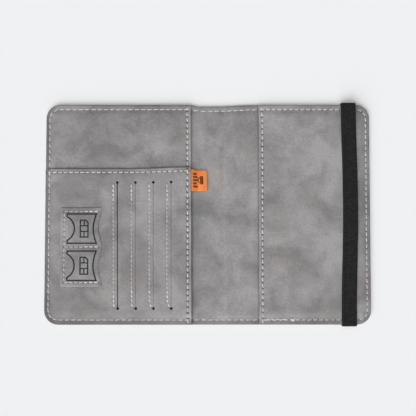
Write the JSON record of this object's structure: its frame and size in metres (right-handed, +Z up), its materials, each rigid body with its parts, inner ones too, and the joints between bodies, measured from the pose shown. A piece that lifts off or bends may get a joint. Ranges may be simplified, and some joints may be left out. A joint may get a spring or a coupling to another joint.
{
  "type": "passport holder wallet",
  "caption": "Leather passport wallet that lies open: passport pocket with a closing elastic band on one cover, card slits, SIM patch and ticket pocket on the other.",
  "frame": {"origin": "under the middle of the spine, on the plane that the open wallet rests on", "axes": "+X from the card side to the passport side across the open wallet, +Y up along the spine, +Z up out of the inside face"},
  "size_m": [0.221, 0.1526, 0.0069],
  "materials": {
    "outer_leather": "matte nubuck",
    "inner_leather": "matte nubuck",
    "thread": "twisted thread",
    "elastic": "woven elastic",
    "tag": "smooth, printed",
    "board": "matte",
    "shielding_foil": "satin foil",
    "liner_fabric": "plain woven"
  },
  "bodies": {
    "back_cover": {"outer_cover_back": "outer_leather", "stiffener_board_back": "board", "shielding_sheet_back": "shielding_foil", "inner_lining_back": "inner_leather", "passport_pocket": "inner_leather", "elastic_band_tails": "elastic", "edge_stitching_back": "thread", "passport_pocket_stitching": "thread"},
    "spine": {"outer_cover_spine": "outer_leather", "inner_lining_spine": "inner_leather", "shielding_tag_tip": "tag", "edge_stitching_spine": "thread"},
    "front_cover": {"outer_cover_front": "outer_leather", "stiffener_board_front": "board", "shielding_sheet_front": "shielding_foil", "inner_lining_front": "inner_leather", "ticket_pocket": "inner_leather", "card_panel": "inner_leather", "card_pocket_liner_1": "liner_fabric", "card_pocket_liner_2": "liner_fabric", "card_pocket_liner_3": "liner_fabric", "card_pocket_liner_4": "liner_fabric", "sim_patch": "inner_leather", "shielding_tag": "tag", "edge_stitching_front": "thread", "panel_edge_stitching": "thread", "card_panel_top_stitching": "thread", "card_slit_stitching": "thread", "sim_patch_stitching": "thread"},
    "elastic_band": {"elastic_band": "elastic"}
  },
  "joints": [
    {"name": "spine_fold", "type": "hinge", "parent": "back_cover", "child": "spine", "pos_m": [0.005, 0, 0.0025], "axis": [0, 1, 0], "range_deg": [0, 90]},
    {"name": "front_fold", "type": "hinge", "parent": "spine", "child": "front_cover", "pos_m": [-0.005, 0, 0.0025], "axis": [0, 1, 0], "range_deg": [0, 90]},
    {"name": "band_stretch", "type": "slide", "parent": "back_cover", "child": "elastic_band", "axis": [0, 0, 1], "range_m": [0, 0.0108], "stiffness_N_per_m": 150}
  ],
  "couplings": [
    {"joint": "front_fold", "follows": "spine_fold", "ratio": 1}
  ]
}
